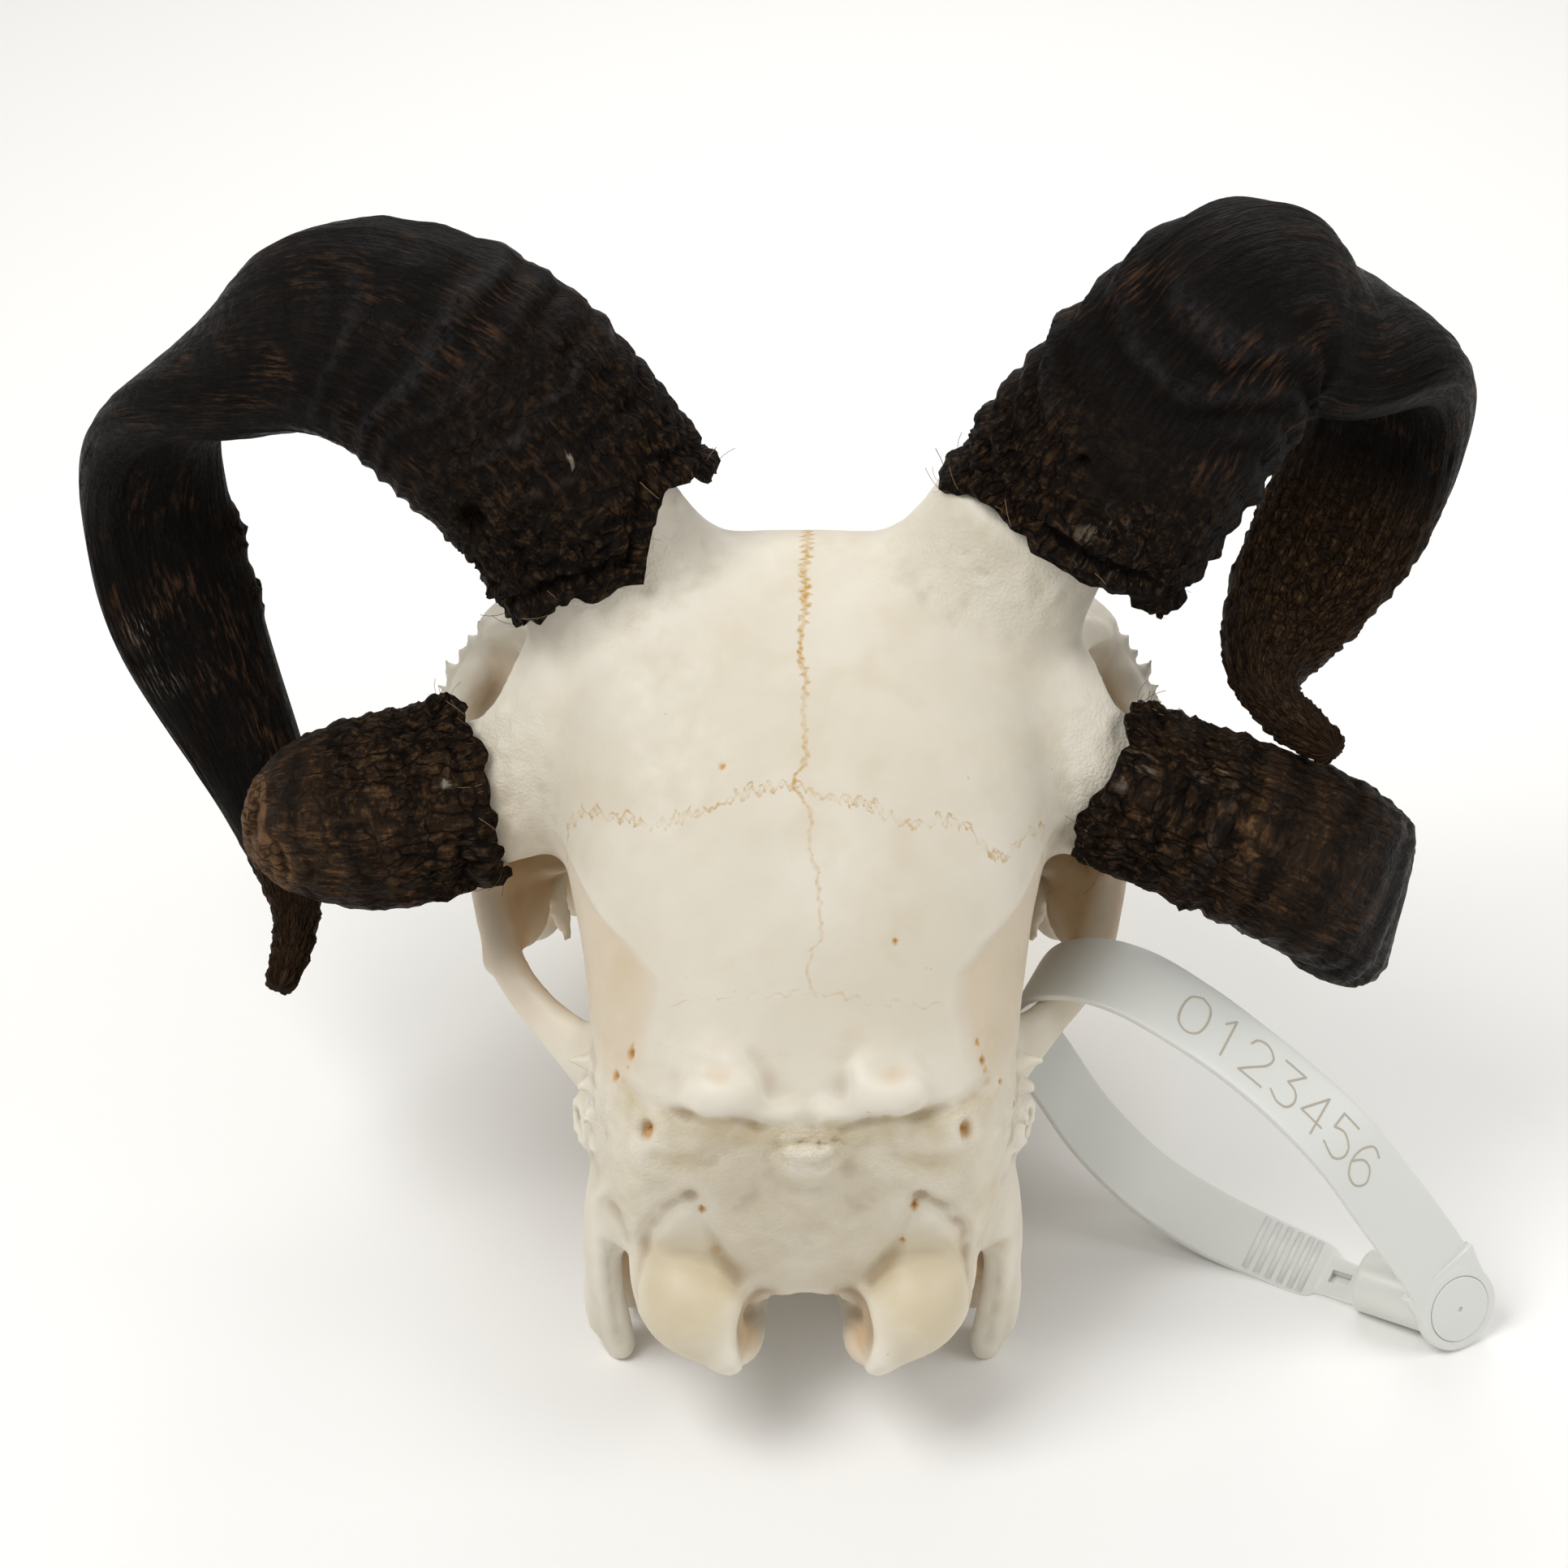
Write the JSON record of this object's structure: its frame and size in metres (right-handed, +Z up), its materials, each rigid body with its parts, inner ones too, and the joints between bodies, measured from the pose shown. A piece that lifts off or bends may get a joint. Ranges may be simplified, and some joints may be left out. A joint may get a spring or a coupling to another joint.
{
  "type": "four-horned sheep skull",
  "caption": "Skull of a polycerate sheep without its lower jaw, with dark coiled horns on the frontals and a plastic museum band through one cheek arch, lying on its cheek teeth.",
  "frame": {"origin": "centre of the bounding box at the level of the floor that the skull rests on", "axes": "+Z up, +Y the way the nose points, +X to the sheep's right"},
  "size_m": [0.2268, 0.2232, 0.1755],
  "materials": {
    "bone": "dry cleaned bone, matt",
    "horn": "near-black ridged horn sheath, partly worn",
    "tag_plastic": "semi-gloss white moulded plastic"
  },
  "bodies": {
    "root": {"cranium": "bone", "face": "bone", "incisive_bones": "bone", "nasal_left": "bone", "nasal_right": "bone", "horn_upper_left": "horn", "horn_upper_right": "horn", "horn_lower_left": "horn", "horn_lower_right": "horn", "tag_band": "tag_plastic", "tag_stud": "tag_plastic"}
  },
  "joints": []
}
